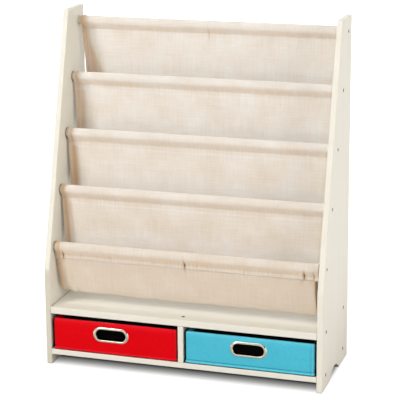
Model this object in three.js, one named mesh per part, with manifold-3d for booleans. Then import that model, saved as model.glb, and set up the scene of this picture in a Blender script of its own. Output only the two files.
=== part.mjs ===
// Sling bookshelf for a child's room. Two side panels hold five rods, a canvas sling hangs from
// the rods in four pockets, and two fabric bins slide in below a low shelf.
// Millimetres, +Z up. The floor is at Z = 0, the front faces -Y, and the width runs along X
// with its middle at X = 0.
import * as THREE from 'three';
import { mergeVertices } from 'three/addons/utils/BufferGeometryUtils.js';
import Module from 'manifold-3d';

const wasm = await Module();
wasm.setup();

// Side panels
const overallWidth = 620;
const panelHeight = 762;
const panelDepth = 240;
const panelTopDepth = 88;
const kneeHeight = 216;
const panelThickness = 12;
const edgeRound = 1.2;
const archFromFront = 72;
const archWidth = 88;
const archHeight = 19;

// Boards of the bin bays
const bottomBoardHeight = 23;
const bottomBoardThickness = 12;
const bayHeight = 82;
const shelfThickness = 15;
const dividerThickness = 12;
const backPanelThickness = 3;
const backPanelInset = 6;
const grooveDepth = 4;

// Rods, spaced evenly along a straight line from the top rod to the low rod
const rodCount = 5;
const rodDiameter = 18;
const topRodFromTop = 31.5;
const topRodFromBack = 28.5;
const lowRodAboveShelf = 128.5;
const lowRodFromFront = 35.5;

// Canvas sling
const canvasThickness = 1.2;
const tunnelEndGap = 4;
const seamBelowRod = 19;
const tailBelowRod = 26;
const pocketAboveShelf = 20.5;
const topPocketPull = 22;
const pocketPull = 6;
const foldDepth = 2.2;
const foldCount = 3;
const foldLeanShare = 0.35;

// Screws
const screwHeadDiameter = 8.6;
const screwHeadHeight = 2.4;
const screwShankDiameter = 4.2;
const screwTipDiameter = 2;
const screwTipLength = 4;
const screwLength = 45;
const screwRecess = 0.6;
const socketDiameter = 4.2;
const socketDepth = 1.6;
const frontScrewInset = 35;
const backScrewInset = 42;
const dividerScrewFromFront = 22;
const dividerScrewFromBack = 40;

// Fabric bins
const binSideGap = 4;
const binTopGap = 9.5;
const binSetback = 3;
const binBackGap = 8;
const binCornerRadius = 5;
const coverThickness = 1.4;
const wallBoardThickness = 2.2;
const liningThickness = 0.8;
const rimTuck = 1;
const baseBoardThickness = 3;
const baseBoardGap = 1.5;
const redBinShift = 1.5;
const blueBinShift = 0;

// Metal handles of the bins
const ringWidth = 82;
const ringHeight = 34.5;
const ringThickness = 2;
const ringRound = 0.9;
const fingerWidth = 66;
const fingerHeight = 22;
const barrelThickness = 1.2;
const washerRim = 5;
const washerThickness = 1;
const handleHeight = 43.5;
const redHandleShift = -9;
const blueHandleShift = -2;

// Clearances
const seatGap = 0.3;
const screwClearance = 0.3;
const cutOverrun = 2;

// Segment counts
const archSegments = 6;
const cornerSegments = 2;
const rodSegments = 20;
const screwSegments = 10;
const socketSides = 6;
const stadiumSegments = 6;
const tunnelSegments = 8;
const clothColumns = 14;
const clothRows = 20;
const halvings = 60;

// Levels and planes that several pieces share
const frontY = -panelDepth / 2;
const backY = panelDepth / 2;
const outerX = overallWidth / 2;
const innerX = outerX - panelThickness;
const bayFloorZ = bottomBoardHeight + bottomBoardThickness;
const shelfBottomZ = bayFloorZ + bayHeight;
const shelfTopZ = shelfBottomZ + shelfThickness;
const bayWidth = innerX - dividerThickness / 2;
const boardLength = (innerX - seatGap) * 2;
const backPanelY = backY - backPanelInset - backPanelThickness / 2;
const dividerBackY = backPanelY - backPanelThickness / 2 - seatGap;
const tunnelInnerRadius = rodDiameter / 2 + seatGap;
const tunnelOuterRadius = tunnelInnerRadius + canvasThickness;
const tunnelHalfLength = innerX - tunnelEndGap;
const pocketDrop = lowRodAboveShelf - pocketAboveShelf;

// Finishes
const creamPaint = new THREE.MeshStandardMaterial({ color: 0xf3eede, roughness: 0.45, metalness: 0 });
const rawWood = new THREE.MeshStandardMaterial({ color: 0xd8c09a, roughness: 0.7, metalness: 0 });
const canvas = new THREE.MeshStandardMaterial({ color: 0xebe1d4, roughness: 0.95, metalness: 0 });
const darkSteel = new THREE.MeshStandardMaterial({ color: 0x4a463f, roughness: 0.45, metalness: 0.8 });
const chrome = new THREE.MeshStandardMaterial({ color: 0xd9dadb, roughness: 0.15, metalness: 1 });
const redFabric = new THREE.MeshStandardMaterial({ color: 0xde0a16, roughness: 0.85, metalness: 0 });
const blueFabric = new THREE.MeshStandardMaterial({ color: 0x4bb8d8, roughness: 0.85, metalness: 0 });
const greyBoard = new THREE.MeshStandardMaterial({ color: 0x8f8a80, roughness: 0.9, metalness: 0 });
const blackLining = new THREE.MeshStandardMaterial({ color: 0x17171a, roughness: 0.9, metalness: 0 });

const bookshelf = new THREE.Group();

// Closed mesh to solid: only positions are kept, and triangles that merging flattened are dropped
function toSolid(geometry) {
  const bare = geometry.clone();
  bare.deleteAttribute('normal');
  bare.deleteAttribute('uv');
  const merged = mergeVertices(bare);
  const corners = merged.index.array;
  const kept = [];
  for (let i = 0; i < corners.length; i += 3) {
    const [a, b, c] = corners.slice(i, i + 3);
    if (a !== b && b !== c && c !== a) kept.push(a, b, c);
  }
  return new wasm.Manifold(new wasm.Mesh({
    numProp: 3,
    vertProperties: new Float32Array(merged.attributes.position.array),
    triVerts: new Uint32Array(kept),
  }));
}

function toGeometry(solid) {
  const mesh = solid.getMesh();
  const geometry = new THREE.BufferGeometry();
  geometry.setAttribute('position', new THREE.BufferAttribute(new Float32Array(mesh.vertProperties), 3));
  geometry.setIndex(new THREE.BufferAttribute(new Uint32Array(mesh.triVerts), 1));
  geometry.computeVertexNormals();
  return geometry;
}

function cut(geometry, cutters) {
  const solid = cutters.reduce((rest, cutter) => rest.subtract(toSolid(cutter)), toSolid(geometry));
  return toGeometry(solid);
}

function addPiece(name, geometry, material, parent = bookshelf) {
  const mesh = new THREE.Mesh(geometry, material);
  mesh.name = name;
  parent.add(mesh);
  return mesh;
}

// Rectangle with rounded corners, centred on the origin
function roundedRectangle(width, height, radius) {
  const shape = new THREE.Shape();
  const x = width / 2 - radius;
  const y = height / 2 - radius;
  shape.absarc(x, y, radius, 0, Math.PI / 2);
  shape.absarc(-x, y, radius, Math.PI / 2, Math.PI);
  shape.absarc(-x, -y, radius, Math.PI, Math.PI * 1.5);
  shape.absarc(x, -y, radius, Math.PI * 1.5, Math.PI * 2);
  return shape;
}

// Long hole with round ends, centred on the origin
function stadium(width, height) {
  const shape = new THREE.Shape();
  const x = (width - height) / 2;
  shape.absarc(x, 0, height / 2, -Math.PI / 2, Math.PI / 2);
  shape.absarc(-x, 0, height / 2, Math.PI / 2, Math.PI * 1.5);
  return shape;
}

function extrude(shape, depth, curveSegments, rounding = 0) {
  return new THREE.ExtrudeGeometry(shape, {
    depth: depth - rounding * 2,
    curveSegments,
    bevelEnabled: rounding > 0,
    bevelThickness: rounding,
    bevelSize: rounding,
    bevelOffset: -rounding,
    bevelSegments: cornerSegments,
  }).translate(0, 0, rounding);
}

// A shape drawn in depth and height, extruded along the width
function extrudeAlongX(shape, length, curveSegments, rounding = 0) {
  const depthHeightWidth = new THREE.Matrix4().makeBasis(
    new THREE.Vector3(0, 1, 0),
    new THREE.Vector3(0, 0, 1),
    new THREE.Vector3(1, 0, 0),
  );
  return extrude(shape, length, curveSegments, rounding)
    .translate(0, 0, -length / 2)
    .applyMatrix4(depthHeightWidth);
}

// Rods: centres in depth and height, from the top one down
function rodCentres() {
  const topRod = new THREE.Vector2(backY - topRodFromBack, panelHeight - topRodFromTop);
  const lowRod = new THREE.Vector2(frontY + lowRodFromFront, shelfTopZ + lowRodAboveShelf);
  const centres = [];
  for (let i = 0; i < rodCount; i += 1) {
    centres.push(topRod.clone().lerp(lowRod, i / (rodCount - 1)));
  }
  return centres;
}

// Screws: the local axis +Z runs from the board's face into the wood
function screwProfile(grow) {
  const headRadius = screwHeadDiameter / 2 + grow;
  const shankRadius = screwShankDiameter / 2 + grow;
  const tipRadius = screwTipDiameter / 2 + grow;
  return [
    new THREE.Vector2(headRadius, screwRecess),
    new THREE.Vector2(shankRadius, screwRecess + screwHeadHeight),
    new THREE.Vector2(shankRadius, screwLength - screwTipLength),
    new THREE.Vector2(tipRadius, screwLength + grow),
    new THREE.Vector2(0, screwLength + grow),
  ];
}

function turned(profile) {
  return new THREE.LatheGeometry(profile, screwSegments).rotateX(Math.PI / 2);
}

function screwGeometry() {
  const body = turned([new THREE.Vector2(0, screwRecess), ...screwProfile(0)]);
  const socketRadius = socketDiameter / 2;
  const socket = new THREE.CylinderGeometry(
    socketRadius,
    socketRadius,
    socketDepth + cutOverrun,
    socketSides,
  ).rotateX(Math.PI / 2);
  socket.translate(0, 0, screwRecess + (socketDepth - cutOverrun) / 2);
  return cut(body, [socket]);
}

function screwHole() {
  const mouthRadius = screwHeadDiameter / 2 + screwClearance;
  return turned([
    new THREE.Vector2(0, -cutOverrun),
    new THREE.Vector2(mouthRadius, -cutOverrun),
    ...screwProfile(screwClearance),
  ]);
}

function screwPlace(name, x, y, z, direction) {
  const at = new THREE.Vector3(x, y, z);
  const turn = new THREE.Quaternion().setFromUnitVectors(new THREE.Vector3(0, 0, 1), direction);
  return { name, at, turn };
}

function screwPlaces() {
  const inward = { left: new THREE.Vector3(1, 0, 0), right: new THREE.Vector3(-1, 0, 0) };
  const places = [];
  for (const side of ['left', 'right']) {
    const x = -outerX * inward[side].x;
    rodCentres().forEach((centre, i) => {
      places.push(screwPlace(`${side}_rod_screw_${i + 1}`, x, centre.x, centre.y, inward[side]));
    });
    const boardLevels = {
      shelf: shelfBottomZ + shelfThickness / 2,
      bottom: bottomBoardHeight + bottomBoardThickness / 2,
    };
    for (const [board, z] of Object.entries(boardLevels)) {
      const y = { front: frontY + frontScrewInset, back: backY - backScrewInset };
      places.push(screwPlace(`${side}_${board}_screw_front`, x, y.front, z, inward[side]));
      places.push(screwPlace(`${side}_${board}_screw_back`, x, y.back, z, inward[side]));
    }
  }
  const down = new THREE.Vector3(0, 0, -1);
  const up = new THREE.Vector3(0, 0, 1);
  const dividerY = { front: frontY + dividerScrewFromFront, back: backY - dividerScrewFromBack };
  for (const [end, y] of Object.entries(dividerY)) {
    places.push(screwPlace(`divider_top_screw_${end}`, 0, y, shelfTopZ, down));
    places.push(screwPlace(`divider_bottom_screw_${end}`, 0, y, bottomBoardHeight, up));
  }
  return places;
}

function screwHolesFor(wanted) {
  return screwPlaces()
    .filter((place) => wanted(place.name))
    .map((place) => screwHole().applyQuaternion(place.turn).translate(place.at.x, place.at.y, place.at.z));
}

function addScrews() {
  for (const place of screwPlaces()) {
    const screw = addPiece(place.name, screwGeometry(), darkSteel);
    screw.position.copy(place.at);
    screw.quaternion.copy(place.turn);
  }
}

// Carcase
function panelOutline() {
  const archRadius = (archWidth ** 2 / 4 + archHeight ** 2) / (archHeight * 2);
  const archMiddleY = frontY + archFromFront + archWidth / 2;
  const archAngle = Math.asin(archWidth / 2 / archRadius);
  const outline = new THREE.Shape();
  outline.moveTo(frontY, kneeHeight);
  outline.lineTo(frontY, 0);
  outline.absarc(
    archMiddleY,
    archHeight - archRadius,
    archRadius,
    Math.PI / 2 + archAngle,
    Math.PI / 2 - archAngle,
    true,
  );
  outline.lineTo(backY, 0);
  outline.lineTo(backY, panelHeight);
  outline.lineTo(backY - panelTopDepth, panelHeight);
  return outline;
}

function backPanelGeometry(grow) {
  const width = (innerX + grooveDepth + grow - seatGap) * 2;
  const height = bayHeight + (grooveDepth + grow - seatGap) * 2;
  const thickness = backPanelThickness + grow * 2;
  return new THREE.BoxGeometry(width, thickness, height)
    .translate(0, backPanelY, bayFloorZ + bayHeight / 2);
}

function addCarcase() {
  const groove = backPanelGeometry(seatGap);
  for (const [side, sign] of [['left', -1], ['right', 1]]) {
    const board = extrudeAlongX(panelOutline(), panelThickness, archSegments, edgeRound);
    board.translate((innerX + panelThickness / 2) * sign, 0, 0);
    const holes = screwHolesFor((name) => name.startsWith(side));
    addPiece(`${side}_side_panel`, cut(board, [groove, ...holes]), creamPaint);
  }

  const shelfShape = roundedRectangle(panelDepth, shelfThickness, edgeRound);
  const shelf = extrudeAlongX(shelfShape, boardLength, cornerSegments);
  shelf.translate(0, 0, shelfBottomZ + shelfThickness / 2);
  const shelfHoles = screwHolesFor((name) => name.includes('shelf') || name.includes('divider_top'));
  addPiece('storage_shelf', cut(shelf, [groove, ...shelfHoles]), creamPaint);

  const bottomShape = roundedRectangle(panelDepth, bottomBoardThickness, edgeRound);
  const bottom = extrudeAlongX(bottomShape, boardLength, cornerSegments);
  bottom.translate(0, 0, bottomBoardHeight + bottomBoardThickness / 2);
  const bottomHoles = screwHolesFor((name) => name.includes('_bottom_'));
  addPiece('bottom_board', cut(bottom, [groove, ...bottomHoles]), creamPaint);

  const dividerDepth = dividerBackY - frontY;
  const dividerShape = roundedRectangle(dividerThickness, dividerDepth, edgeRound);
  const divider = extrude(dividerShape, bayHeight - seatGap * 2, cornerSegments);
  divider.translate(0, frontY + dividerDepth / 2, bayFloorZ + seatGap);
  addPiece('center_divider', cut(divider, screwHolesFor((name) => name.includes('divider'))), creamPaint);

  addPiece('bay_back_panel', backPanelGeometry(0), creamPaint);
}

// Rods and the canvas tunnels sewn round them
function rodGeometry() {
  const rodLength = boardLength;
  const rod = new THREE.CylinderGeometry(rodDiameter / 2, rodDiameter / 2, rodLength, rodSegments)
    .rotateZ(Math.PI / 2);
  const halfTurn = Math.PI / 2;
  const holes = [
    screwHole().rotateY(halfTurn).translate(-outerX, 0, 0),
    screwHole().rotateY(-halfTurn).translate(outerX, 0, 0),
  ];
  return cut(rod, holes);
}

// Drop-shaped ring of cloth: tight over the rod, pinched to a two-ply tail below it
function tunnelOutline(radius, tailHalfWidth, bottom) {
  const pinchDistance = Math.hypot(seamBelowRod, tailHalfWidth);
  const leaveAngle = Math.acos(radius / pinchDistance) - Math.atan2(seamBelowRod, tailHalfWidth);
  const outline = new THREE.Path();
  outline.moveTo(tailHalfWidth, -bottom);
  outline.lineTo(tailHalfWidth, -seamBelowRod);
  outline.absarc(0, 0, radius, leaveAngle, Math.PI - leaveAngle);
  outline.lineTo(-tailHalfWidth, -seamBelowRod);
  outline.lineTo(-tailHalfWidth, -bottom);
  return outline.getPoints(tunnelSegments);
}

function tunnelInside(radius) {
  const leaveAngle = Math.acos(radius / seamBelowRod) - Math.PI / 2;
  const outline = new THREE.Path();
  outline.absarc(0, 0, radius, leaveAngle, Math.PI - leaveAngle);
  outline.lineTo(0, -seamBelowRod);
  return outline.getPoints(tunnelSegments);
}

function tunnelGeometry() {
  const shape = new THREE.Shape(tunnelOutline(tunnelOuterRadius, canvasThickness, tailBelowRod));
  shape.holes.push(new THREE.Path(tunnelInside(tunnelInnerRadius)));
  return extrudeAlongX(shape, tunnelHalfLength * 2, tunnelSegments);
}

// Cloth hung from two level lines: a catenary whose lowest line is given
function hangingCurve(start, end, lowZ) {
  const startRise = start.y - lowZ;
  const endRise = end.y - lowZ;
  const reach = (scale, rise) => scale * Math.acosh(1 + rise / scale);
  const span = start.x - end.x;
  let small = 0;
  let large = span + startRise;
  for (let step = 0; step < halvings; step += 1) {
    const middle = (small + large) / 2;
    const tooWide = reach(middle, startRise) + reach(middle, endRise) > span;
    [small, large] = tooWide ? [small, middle] : [middle, large];
  }
  const lowY = start.x - reach(large, startRise);
  const fromTurn = Math.acosh(1 + startRise / large);
  const toTurn = -Math.acosh(1 + endRise / large);
  return (share) => {
    const turn = THREE.MathUtils.lerp(fromTurn, toTurn, share);
    const along = Math.sinh(turn);
    return {
      y: lowY + large * turn,
      z: lowZ + large * (Math.cosh(turn) - 1),
      normal: new THREE.Vector2(-along, 1).normalize(),
      lengthShare: (Math.sinh(fromTurn) - along) / (Math.sinh(fromTurn) - Math.sinh(toTurn)),
    };
  };
}

// A pocket: the hanging curve swept across the width, drawn in at its sides, with soft upright folds
function pocketGeometry(backRod, frontRod, pull) {
  const seamOffset = (canvasThickness + seatGap) / 2;
  const seamZ = tailBelowRod + seatGap;
  const start = new THREE.Vector2(backRod.x - seamOffset, backRod.y - seamZ);
  const end = new THREE.Vector2(frontRod.x + seamOffset, frontRod.y - seamZ);
  const curve = hangingCurve(start, end, frontRod.y - pocketDrop);
  const positions = [];
  for (const face of [1, -1]) {
    for (let row = 0; row <= clothRows; row += 1) {
      const point = curve(row / clothRows);
      const freedom = Math.sin(Math.PI * point.lengthShare);
      const halfWidth = tunnelHalfLength - pull * freedom;
      for (let column = 0; column <= clothColumns; column += 1) {
        const xShare = (column / clothColumns) * 2 - 1;
        const wave = Math.cos(Math.PI * foldCount * (xShare + foldLeanShare * point.lengthShare));
        const fold = foldDepth * freedom ** 2 * wave;
        positions.push(
          halfWidth * xShare,
          point.y + fold + point.normal.x * canvasThickness / 2 * face,
          point.z + point.normal.y * canvasThickness / 2 * face,
        );
      }
    }
  }
  const columns = clothColumns + 1;
  const layer = columns * (clothRows + 1);
  const at = (face, row, column) => face * layer + row * columns + column;
  const triangles = [];
  const quad = (a, b, c, d) => triangles.push(a, b, c, a, c, d);
  for (let row = 0; row < clothRows; row += 1) {
    for (let column = 0; column < clothColumns; column += 1) {
      quad(at(0, row, column), at(0, row + 1, column), at(0, row + 1, column + 1), at(0, row, column + 1));
      quad(at(1, row, column), at(1, row, column + 1), at(1, row + 1, column + 1), at(1, row + 1, column));
    }
    quad(at(0, row, 0), at(1, row, 0), at(1, row + 1, 0), at(0, row + 1, 0));
    const last = clothColumns;
    quad(at(0, row, last), at(0, row + 1, last), at(1, row + 1, last), at(1, row, last));
  }
  for (let column = 0; column < clothColumns; column += 1) {
    const last = clothRows;
    quad(at(0, 0, column), at(0, 0, column + 1), at(1, 0, column + 1), at(1, 0, column));
    quad(at(0, last, column), at(1, last, column), at(1, last, column + 1), at(0, last, column + 1));
  }
  const geometry = new THREE.BufferGeometry();
  geometry.setAttribute('position', new THREE.Float32BufferAttribute(positions, 3));
  geometry.setIndex(triangles);
  geometry.computeVertexNormals();
  return geometry;
}

function addSling() {
  const centres = rodCentres();
  centres.forEach((centre, i) => {
    const rod = addPiece(`rod_${i + 1}`, rodGeometry(), rawWood);
    rod.position.set(0, centre.x, centre.y);
    const tunnel = addPiece(`rod_tunnel_${i + 1}`, tunnelGeometry(), canvas);
    tunnel.position.set(0, centre.x, centre.y);
  });
  for (let i = 1; i < centres.length; i += 1) {
    const pull = i === 1 ? topPocketPull : pocketPull;
    addPiece(`sling_pocket_${i}`, pocketGeometry(centres[i - 1], centres[i], pull), canvas);
  }
}

// Fabric bins, each built about the middle of its floor and then set in its bay
function openBox(width, depth, height, radius, wall, floor) {
  const outside = extrude(roundedRectangle(width, depth, radius), height, cornerSegments);
  const innerRadius = Math.max(radius - wall, wall / 2);
  const insideShape = roundedRectangle(width - wall * 2, depth - wall * 2, innerRadius);
  const inside = extrude(insideShape, height + cutOverrun * 2, cornerSegments).translate(0, 0, floor);
  return cut(outside, [inside]);
}

// A stadium-shaped piece in the bin's front wall: its outline stands upright and faces the front
function frontPlate(shape, backFaceY, thickness, rounding = 0) {
  return extrude(shape, thickness, stadiumSegments, rounding)
    .rotateX(Math.PI / 2)
    .translate(0, backFaceY, 0);
}

function ringShape(width, height, holeWidth, holeHeight) {
  const shape = stadium(width, height);
  shape.holes.push(new THREE.Path(stadium(holeWidth, holeHeight).getPoints(stadiumSegments)));
  return shape;
}

function addBin(color, fabric, bayMiddleX, handleShift) {
  const bin = new THREE.Group();
  const width = bayWidth - binSideGap * 2;
  const depth = dividerBackY - frontY - binSetback - binBackGap;
  const height = bayHeight - binTopGap - seatGap;
  const binFrontY = -depth / 2;
  bin.position.set(bayMiddleX, frontY + binSetback + depth / 2, bayFloorZ + seatGap);
  bookshelf.add(bin);

  const barrelWidth = fingerWidth + barrelThickness * 2;
  const barrelHeight = fingerHeight + barrelThickness * 2;
  const boardOffset = coverThickness + seatGap;
  const liningOffset = boardOffset + wallBoardThickness + seatGap;
  const wallDepth = liningOffset + liningThickness;
  const handleHoleShape = stadium(barrelWidth + seatGap * 2, barrelHeight + seatGap * 2);
  const holeDepth = wallDepth + cutOverrun * 2;
  const handleHole = frontPlate(handleHoleShape, binFrontY + wallDepth + cutOverrun, holeDepth)
    .translate(handleShift, 0, handleHeight);

  const cover = openBox(width, depth, height, binCornerRadius, coverThickness, coverThickness);
  addPiece(`${color}_bin_cover`, cut(cover, [handleHole]), fabric, bin);

  const boardWidth = width - boardOffset * 2;
  const boardDepth = depth - boardOffset * 2;
  const boardHeight = height - boardOffset - rimTuck;
  const boardRadius = binCornerRadius - boardOffset;
  const wallBoard = openBox(
    boardWidth,
    boardDepth,
    boardHeight,
    boardRadius,
    wallBoardThickness,
    -cutOverrun,
  ).translate(0, 0, boardOffset);
  addPiece(`${color}_bin_wall_board`, cut(wallBoard, [handleHole]), greyBoard, bin);

  const liningWidth = width - liningOffset * 2;
  const liningDepth = depth - liningOffset * 2;
  const lining = openBox(
    liningWidth,
    liningDepth,
    height - boardOffset,
    liningThickness,
    liningThickness,
    liningThickness,
  ).translate(0, 0, boardOffset);
  addPiece(`${color}_bin_lining`, cut(lining, [handleHole]), blackLining, bin);

  const baseInset = (liningThickness + baseBoardGap) * 2;
  const baseShape = roundedRectangle(liningWidth - baseInset, liningDepth - baseInset, baseBoardGap);
  const baseBoard = extrude(baseShape, baseBoardThickness, cornerSegments);
  baseBoard.translate(0, 0, boardOffset + liningThickness + seatGap);
  addPiece(`${color}_bin_base_board`, baseBoard, blackLining, bin);

  const washerFaceY = binFrontY + wallDepth + seatGap + washerThickness;
  const flangeShape = ringShape(ringWidth, ringHeight, fingerWidth, fingerHeight);
  const flange = frontPlate(flangeShape, binFrontY - seatGap, ringThickness, ringRound);
  const barrelShape = ringShape(barrelWidth, barrelHeight, fingerWidth, fingerHeight);
  const barrelLength = washerFaceY - binFrontY + ringThickness / 2 + seatGap;
  const barrel = frontPlate(barrelShape, washerFaceY, barrelLength);
  const ringGeometry = toGeometry(toSolid(flange).add(toSolid(barrel)));
  const ring = addPiece(`${color}_bin_handle_ring`, ringGeometry, chrome, bin);
  ring.position.set(handleShift, 0, handleHeight);

  const washerShape = ringShape(
    barrelWidth + washerRim * 2,
    barrelHeight + washerRim * 2,
    barrelWidth + seatGap * 2,
    barrelHeight + seatGap * 2,
  );
  const washerPlate = frontPlate(washerShape, washerFaceY, washerThickness);
  const washer = addPiece(`${color}_bin_handle_washer`, washerPlate, chrome, bin);
  washer.position.set(handleShift, 0, handleHeight);
}

addCarcase();
addSling();
addScrews();
const bayMiddleX = (innerX + dividerThickness / 2) / 2;
addBin('red', redFabric, redBinShift - bayMiddleX, redHandleShift);
addBin('blue', blueFabric, bayMiddleX + blueBinShift, blueHandleShift);

export default bookshelf;
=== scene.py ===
import math

import bpy
import numpy as np
from mathutils import Matrix, Vector


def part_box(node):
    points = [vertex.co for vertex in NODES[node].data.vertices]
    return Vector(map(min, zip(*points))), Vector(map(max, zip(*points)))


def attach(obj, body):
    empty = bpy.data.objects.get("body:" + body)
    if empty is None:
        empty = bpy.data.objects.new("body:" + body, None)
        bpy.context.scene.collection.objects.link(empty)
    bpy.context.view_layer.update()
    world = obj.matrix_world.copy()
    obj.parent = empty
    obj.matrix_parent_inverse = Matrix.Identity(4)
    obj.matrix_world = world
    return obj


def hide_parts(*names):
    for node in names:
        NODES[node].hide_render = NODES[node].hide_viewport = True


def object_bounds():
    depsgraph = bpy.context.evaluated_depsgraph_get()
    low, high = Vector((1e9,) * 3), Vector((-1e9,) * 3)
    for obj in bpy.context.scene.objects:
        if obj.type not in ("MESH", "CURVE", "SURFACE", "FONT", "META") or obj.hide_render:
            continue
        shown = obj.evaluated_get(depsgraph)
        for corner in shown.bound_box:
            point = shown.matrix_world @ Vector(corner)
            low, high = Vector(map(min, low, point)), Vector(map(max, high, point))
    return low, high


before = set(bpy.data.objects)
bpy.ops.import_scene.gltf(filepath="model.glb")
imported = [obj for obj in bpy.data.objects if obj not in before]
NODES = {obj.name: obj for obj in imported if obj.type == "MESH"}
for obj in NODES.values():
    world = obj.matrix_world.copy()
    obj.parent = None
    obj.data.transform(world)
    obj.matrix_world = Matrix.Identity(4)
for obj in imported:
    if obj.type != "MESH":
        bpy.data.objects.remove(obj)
cad_low, cad_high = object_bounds()

MM = 0.001
RODS = 5

# Camera, solved on the corners of the panels and boards
CAMERA_PLACE = (1.007, -3.116, 1.267)
CAMERA_YAW = -17.76
CAMERA_PITCH = -14.32
CAMERA_ROLL = -0.49
FOCAL_PX = 1573.9
FRAME_PX = 400
AXIS_ROW_PX = 170
SENSOR = 36

# Soft lamps: azimuth, elevation, size, power and colour; azimuth 0 is in front and grows to the right
LAMPS = {
    "key_strip": (-35, 32, (1.6, 5.6), 272, (1.0, 0.995, 0.98)),
    "front_fill": (14, 28, (4.0, 4.0), 68, (1.0, 0.985, 0.965)),
    "high_front": (-8, 62, (4.0, 4.0), 72, (1.0, 0.985, 0.965)),
    "front_right": (66, 14, (2.4, 2.4), 94, (1.0, 0.97, 0.93)),
    "high_right": (92, 24, (3.2, 3.2), 86, (1.0, 0.972, 0.94)),
    "back": (175, 40, (3.2, 3.2), 150, (1.0, 0.97, 0.93)),
}
LIGHT_TARGET = Vector((0, 0, 0.38))
LAMP_DISTANCE = 7.0

# Surroundings
AMBIENT = 0.18
AMBIENT_TINT = (1.0, 0.93, 0.84, 1)
DARK_CEILING = (0.50, -0.62, 0.60)
FLOOR_HALF = 14.0
FLOOR_GLOW_NEAR = 0.62
FLOOR_LOW = (0.80, 0.80, 0.80, 1)
FLOOR_HIGH = (0.82, 0.82, 0.82, 1)
# Painted shadow: the floor's colour under the object
FLOOR_SHADOW = (0.16, 0.16, 0.16, 1)
WHITE = (1, 1, 1, 1)

# Side panels
PANEL_THICKNESS = 12 * MM
KNEE_HEIGHT = 216 * MM

# Canvas sling
CANVAS_THICKNESS = 1.1 * MM
PLY_OFFSET = 0.75 * MM
SLEEVE_RADIUS = 9.9 * MM
SEAM_BELOW_ROD = 17 * MM
POCKET_SEAM_BELOW_ROD = 26.3 * MM
HALF_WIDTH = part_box("rod_tunnel_1")[1].x
TOP_SLEEVE_PULL = 4 * MM
TOP_POCKET_PULL = (12 * MM, 8 * MM)
POCKET_PULL = 6 * MM
LOW_SHEET_PULL = 7 * MM
LOW_LEFT_LIFT = 5 * MM
HEM_WIDTH = 9 * MM
YARN_PITCH = 1.1 * MM

# The sling's mesh
END_ROW = 0.5 * MM
COLUMN_STEP = 2.2 * MM
SLEEVE_ROW_STEP = 1.9 * MM
WALL_ROW_STEP = 4.2 * MM
BOTTOM_ROW_STEP = 1.4 * MM
FINE_STEP = 0.4 * MM
SLEEVE_POINTS = 60
POCKET_POINTS = 400
HALVINGS = 60

# Gathers under each rod: (depth, places where the cloth is gathered most as (x, reach, extra share))
GATHERS = {
    1: (1.5 * MM, [(-0.10, 0.10, 0.3), (0.02, 0.012, 0.8), (0.20, 0.08, 0.5)]),
    2: (1.6 * MM, [(-0.20, 0.06, 0.5), (0.05, 0.05, 0.4), (0.18, 0.07, 0.6)]),
    3: (1.6 * MM, [(-0.13, 0.06, 0.6), (0.08, 0.04, 0.4), (0.22, 0.06, 0.5)]),
    4: (1.6 * MM, [(-0.16, 0.07, 0.6), (0.02, 0.05, 0.4), (0.25, 0.05, 0.7)]),
    5: (2.0 * MM, [
        (-0.178, 0.022, 1.5), (-0.07, 0.05, 0.5), (0.06, 0.07, 0.6), (0.19, 0.05, 0.7), (0.262, 0.02, 0.8),
    ]),
}
GATHER_PITCH = 7 * MM
GATHER_DROP = 12 * MM
GATHER_RISE = 4.5 * MM
GATHER_END = 60 * MM
RIDGE_REACH = 10 * MM

# Pinches by rod, where a thread pulls the cloth into a narrow dent: (x, half width, depth)
PINCHES = {
    1: [(0.003, 1.6 * MM, 1.0 * MM)],
    5: [
        (-0.278, 2.2 * MM, 2.2 * MM), (0.0, 1.8 * MM, 3.0 * MM), (0.262, 2.4 * MM, 2.2 * MM),
        (0.283, 1.8 * MM, 1.6 * MM),
    ],
}

# Broad soft folds: (pocket, front wall or back, x at the top, x at the bottom, half width, depth)
FOLDS = [
    (1, False, 0.215, 0.165, 0.028, 2.6 * MM),
    (1, False, -0.262, -0.225, 0.030, -3.5 * MM),
    (1, False, 0.095, 0.060, 0.050, 1.6 * MM),
    (2, False, 0.205, 0.140, 0.036, 3.0 * MM),
    (2, False, -0.255, -0.238, 0.022, -2.0 * MM),
    (3, False, 0.190, 0.110, 0.034, 3.2 * MM),
    (3, False, -0.250, -0.235, 0.020, -2.0 * MM),
    (3, False, -0.060, -0.100, 0.060, 1.4 * MM),
    (4, False, 0.175, 0.095, 0.034, 3.2 * MM),
    (4, False, -0.245, -0.236, 0.020, -2.0 * MM),
    (4, True, -0.085, -0.080, 0.012, 1.2 * MM),
    (4, True, 0.035, 0.050, 0.030, 1.4 * MM),
    (4, True, 0.190, 0.170, 0.040, 1.6 * MM),
    (4, True, -0.286, -0.262, 0.007, -3.0 * MM),
    (4, True, -0.272, -0.250, 0.006, 2.4 * MM),
]

# Stitches: short threads, each made from rings of (share of its length, share of its radius)
STITCH_LENGTH = 3.1 * MM
STITCH_PITCH = 4.2 * MM
STITCH_RADIUS = 0.28 * MM
STITCH_SIDES = 5
STITCH_RINGS = [(-0.5, 0.25), (-0.3, 0.95), (0.3, 0.95), (0.5, 0.25)]

# Screws
SCREW_HEAD_RADIUS = min(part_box("left_rod_screw_1")[1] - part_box("left_rod_screw_1")[0]) / 2
SCREW_HEAD_HEIGHT = 2.4 * MM
SCREW_SHANK_RADIUS = 2.1 * MM
SCREW_SIDES = 24
SOCKET_HALF_WIDTH = 2.1 * MM
SOCKET_DEPTH = 1.6 * MM
THREAD_PITCH = 1.8 * MM
THREAD_DEPTH = 0.45 * MM
SCREW_EDGE_ANGLE = math.radians(40)

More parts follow.
